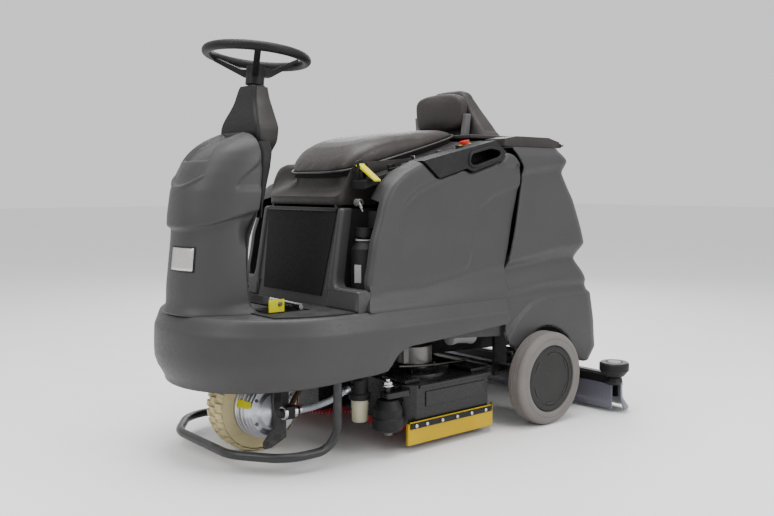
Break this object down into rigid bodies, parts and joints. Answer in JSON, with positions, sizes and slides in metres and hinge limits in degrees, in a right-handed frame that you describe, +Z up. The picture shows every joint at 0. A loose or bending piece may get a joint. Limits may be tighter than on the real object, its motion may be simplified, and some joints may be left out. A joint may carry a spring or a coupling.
{
  "type": "ride-on floor scrubber",
  "caption": "Ride-on floor scrubber with a front drive wheel, steering wheel, seat, twin disc brush deck, rear squeegee and twin tanks.",
  "frame": {"origin": "on the floor under the middle of the machine, at the centre of its bounding box", "axes": "+X forwards, +Y to the driver's left, +Z up"},
  "size_m": [1.5299, 0.98, 1.1825],
  "materials": {
    "body_grey": "satin moulded plastic, fine grain",
    "black_plastic": "black moulded plastic",
    "warm_plastic": "dark warm grey moulded plastic",
    "frame_paint": "black powder coat",
    "bare_steel": "plain steel",
    "cast_alloy": "cast aluminium",
    "vinyl": "grained vinyl cover",
    "drive_rubber": "non-marking ribbed rubber",
    "grey_rubber": "non-marking grey rubber",
    "mat_rubber": "ribbed rubber",
    "blade_yellow": "yellow blade rubber",
    "blade_clear": "smoky blade rubber",
    "bristle_red": "red nylon bristle",
    "yellow_paint": "yellow enamel",
    "red_plastic": "red gloss plastic",
    "clear_bowl": "clear moulded bowl",
    "clear_hose": "clear braided hose",
    "battery_case": "dark battery cases"
  },
  "bodies": {
    "chassis": {"battery_pack": "battery_case", "bumper_ring": "frame_paint", "chassis_frame": "frame_paint", "column_cover": "black_plastic", "console_left": "warm_plastic", "console_right": "warm_plastic", "deck_actuator": "bare_steel", "filter_bowl": "clear_bowl", "filter_head": "black_plastic", "foot_mat": "mat_rubber", "front_panel": "black_plastic", "hose_clamps": "bare_steel", "lower_cowl": "body_grey", "nose_shell": "body_grey", "pedal_bracket": "frame_paint", "rear_axle": "bare_steel", "rear_tank": "body_grey", "seat_box": "body_grey", "side_shell_left": "body_grey", "side_shell_right": "body_grey", "steering_chain": "bare_steel", "supply_hose": "clear_hose", "vacuum_motor": "cast_alloy", "valve_block": "black_plastic"},
    "steering": {"steering_wheel": "black_plastic", "steering_shaft": "bare_steel"},
    "fork": {"fork": "frame_paint", "drive_motor": "cast_alloy"},
    "drive_wheel": {"drive_hub": "cast_alloy", "drive_tyre": "drive_rubber"},
    "rear_wheel_left": {"rear_hub_left": "black_plastic", "rear_tyre_left": "grey_rubber"},
    "rear_wheel_right": {"rear_hub_right": "black_plastic", "rear_tyre_right": "grey_rubber"},
    "seat": {"seat_pan": "warm_plastic", "seat_cushion": "vinyl", "backrest_pad": "vinyl", "backrest_cowl": "warm_plastic"},
    "lid": {"tank_lid": "warm_plastic"},
    "deck": {"deck_housing": "black_plastic", "brush_motors": "cast_alloy"},
    "left_brush": {"brush_left": "bristle_red"},
    "right_brush": {"brush_right": "bristle_red"},
    "left_guide_roller": {"deck_roller_left": "black_plastic"},
    "right_guide_roller": {"deck_roller_right": "black_plastic"},
    "left_side_blade": {"side_squeegee_left": "blade_yellow"},
    "right_side_blade": {"side_squeegee_right": "blade_yellow"},
    "squeegee": {"squeegee_arm": "frame_paint", "squeegee_body": "black_plastic", "squeegee_blades": "blade_clear"},
    "left_end_roller": {"squeegee_roller_left": "black_plastic"},
    "right_end_roller": {"squeegee_roller_right": "black_plastic"},
    "pedal": {"drive_pedal": "bare_steel"},
    "latch": {"pedal_latch": "yellow_paint"},
    "lever": {"side_lever": "yellow_paint"},
    "knob": {"rotary_knob": "black_plastic"},
    "key": {"key_switch": "bare_steel"},
    "button": {"push_button": "black_plastic"},
    "stop": {"e_stop_button": "red_plastic"},
    "canister": {"detergent_canister": "black_plastic"}
  },
  "joints": [
    {"name": "fork_yaw", "type": "hinge", "parent": "chassis", "child": "fork", "pos_m": [0.49, 0, 0.32], "axis": [0, 0, 1], "range_deg": [-70, 70]},
    {"name": "steering_turn", "type": "hinge", "parent": "chassis", "child": "steering", "pos_m": [0.465, 0, 1.154], "axis": [-0.1045, 0, 0.9945], "range_deg": [-140, 140]},
    {"name": "drive_spin", "type": "hinge", "parent": "fork", "child": "drive_wheel", "pos_m": [0.49, 0, 0.14], "axis": [0, 1, 0], "continuous": true},
    {"name": "rear_left_spin", "type": "hinge", "parent": "chassis", "child": "rear_wheel_left", "pos_m": [-0.39, 0.37, 0.1525], "axis": [0, 1, 0], "continuous": true},
    {"name": "rear_right_spin", "type": "hinge", "parent": "chassis", "child": "rear_wheel_right", "pos_m": [-0.39, -0.37, 0.1525], "axis": [0, 1, 0], "continuous": true},
    {"name": "seat_flip", "type": "hinge", "parent": "chassis", "child": "seat", "pos_m": [0.3, 0, 0.734], "axis": [0, 1, 0], "range_deg": [0, 45]},
    {"name": "lid_open", "type": "hinge", "parent": "chassis", "child": "lid", "pos_m": [-0.54, 0, 0.915], "axis": [0, -1, 0], "range_deg": [0, 75]},
    {"name": "deck_lift", "type": "slide", "parent": "chassis", "child": "deck", "axis": [0, 0, 1], "range_m": [-0.038, 0.024]},
    {"name": "left_brush_spin", "type": "hinge", "parent": "deck", "child": "left_brush", "pos_m": [0.005, 0.168, 0.11], "axis": [0, 0, 1], "continuous": true},
    {"name": "right_brush_spin", "type": "hinge", "parent": "deck", "child": "right_brush", "pos_m": [0.092, -0.164, 0.11], "axis": [0, 0, 1], "continuous": true},
    {"name": "left_guide_spin", "type": "hinge", "parent": "deck", "child": "left_guide_roller", "pos_m": [0.228, 0.308, 0.12], "axis": [0, 0, 1], "continuous": true},
    {"name": "right_guide_spin", "type": "hinge", "parent": "deck", "child": "right_guide_roller", "pos_m": [0.318, -0.308, 0.12], "axis": [0, 0, 1], "continuous": true},
    {"name": "left_blade_float", "type": "slide", "parent": "deck", "child": "left_side_blade", "axis": [0, 0, 1], "range_m": [-0.012, 0.018]},
    {"name": "right_blade_float", "type": "slide", "parent": "deck", "child": "right_side_blade", "axis": [0, 0, 1], "range_m": [-0.012, 0.018]},
    {"name": "squeegee_lift", "type": "hinge", "parent": "chassis", "child": "squeegee", "pos_m": [-0.565, 0, 0.235], "axis": [0, 1, 0], "range_deg": [-3, 10]},
    {"name": "left_end_spin", "type": "hinge", "parent": "squeegee", "child": "left_end_roller", "pos_m": [-0.676, 0.44, 0.15], "axis": [0, 0, 1], "continuous": true},
    {"name": "right_end_spin", "type": "hinge", "parent": "squeegee", "child": "right_end_roller", "pos_m": [-0.676, -0.44, 0.15], "axis": [0, 0, 1], "continuous": true},
    {"name": "pedal_press", "type": "hinge", "parent": "chassis", "child": "pedal", "pos_m": [0.45, 0.13, 0.441], "axis": [0, 1, 0], "range_deg": [0, 12], "stiffness_Nm_per_rad": 4, "springref_deg": -11.46},
    {"name": "latch_turn", "type": "hinge", "parent": "chassis", "child": "latch", "pos_m": [0.525, 0.2, 0.458], "axis": [0, -1, 0], "range_deg": [0, 60]},
    {"name": "lever_pull", "type": "hinge", "parent": "chassis", "child": "lever", "pos_m": [0.251, 0.214, 0.838], "axis": [1, 0, 0], "range_deg": [0, 45]},
    {"name": "knob_turn", "type": "hinge", "parent": "chassis", "child": "knob", "pos_m": [0.152, 0.236, 0.82651], "axis": [0.2609, 0, 0.9654], "range_deg": [-135, 135]},
    {"name": "key_turn", "type": "hinge", "parent": "chassis", "child": "key", "pos_m": [0.065, 0.236, 0.85003], "axis": [0.2609, 0, 0.9654], "range_deg": [0, 90]},
    {"name": "button_press", "type": "slide", "parent": "chassis", "child": "button", "axis": [-0.2609, 0, -0.9654], "range_m": [0, 0.0025], "stiffness_N_per_m": 400, "springref_m": -0.002},
    {"name": "stop_press", "type": "slide", "parent": "chassis", "child": "stop", "axis": [-0.2609, 0, -0.9654], "range_m": [0, 0.005], "stiffness_N_per_m": 600, "springref_m": -0.002},
    {"name": "canister_out", "type": "slide", "parent": "chassis", "child": "canister", "axis": [1, 0, 0], "range_m": [0, 0.15]}
  ],
  "couplings": [
    {"joint": "steering_turn", "follows": "fork_yaw", "ratio": 2},
    {"joint": "right_brush_spin", "follows": "left_brush_spin", "ratio": -1},
    {"joint": "left_blade_float", "follows": "deck_lift", "ratio": -0.42},
    {"joint": "right_blade_float", "follows": "deck_lift", "ratio": -0.42}
  ]
}
